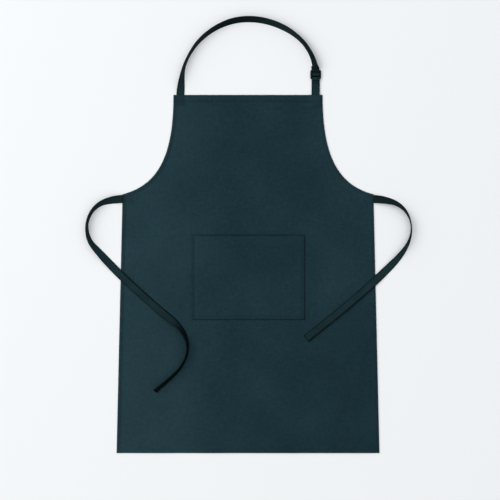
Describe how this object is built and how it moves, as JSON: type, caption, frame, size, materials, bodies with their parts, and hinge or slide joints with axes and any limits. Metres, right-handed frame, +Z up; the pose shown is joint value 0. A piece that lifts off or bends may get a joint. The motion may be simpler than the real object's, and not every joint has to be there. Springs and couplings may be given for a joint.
{
  "type": "artist smock apron",
  "caption": "Cloth bib apron lying flat, with a patch pocket, a neck strap that adjusts through a slider, and two waist ties sewn on under the armholes.",
  "frame": {"origin": "on the surface the apron lies on, under the middle of its cloth panel's length and width", "axes": "+X across the apron, +Y along it from the bottom hem to the neck, +Z up off the surface, towards the apron's front"},
  "size_m": [0.8153, 1.0911, 0.0223],
  "materials": {
    "canvas": "matte woven",
    "webbing": "matte woven tape",
    "thread": "matte",
    "slider_plastic": "satin"
  },
  "bodies": {
    "apron": {"body_panel": "canvas", "pocket": "canvas", "neck_strap_sewn_end": "webbing", "buckle_tab_sewn_end": "webbing", "waist_tie_left_sewn_end": "webbing", "waist_tie_right_sewn_end": "webbing", "armhole_stitching_left": "thread", "armhole_stitching_right": "thread", "side_hem_stitching_left": "thread", "side_hem_stitching_right": "thread", "bib_hem_stitching": "thread", "bottom_hem_stitching": "thread", "neck_strap_box_stitch": "thread", "buckle_tab_box_stitch": "thread", "waist_tie_left_box_stitch": "thread", "waist_tie_right_box_stitch": "thread", "pocket_edge_stitching": "thread", "pocket_mouth_stitching": "thread", "pocket_bartacks": "thread"},
    "neck_loop": {"neck_strap": "webbing", "buckle_tab": "webbing", "buckle_tab_stitching": "thread", "strap_slider": "slider_plastic"},
    "strap_tail": {"neck_strap_tail": "webbing"},
    "tie_left": {"waist_tie_left": "webbing", "waist_tie_left_end_stitching": "thread"},
    "tie_right": {"waist_tie_right": "webbing", "waist_tie_right_end_stitching": "thread"}
  },
  "joints": [
    {"name": "neck_loop_fold", "type": "hinge", "parent": "apron", "child": "neck_loop", "pos_m": [0, 0.4475, 0.0051], "axis": [1, 0, 0], "range_deg": [0, 150]},
    {"name": "neck_strap_adjust", "type": "slide", "parent": "neck_loop", "child": "strap_tail", "axis": [0, -1, 0], "range_m": [0, 0.022], "deforming": ["neck_strap"]},
    {"name": "waist_tie_left_lift", "type": "hinge", "parent": "apron", "child": "tie_left", "pos_m": [-0.3153, 0.1976, 0.001], "axis": [-1, 0, 0], "range_deg": [0, 150]},
    {"name": "waist_tie_right_lift", "type": "hinge", "parent": "apron", "child": "tie_right", "pos_m": [0.3153, 0.1976, 0.001], "axis": [-1, 0, 0], "range_deg": [0, 150]}
  ]
}
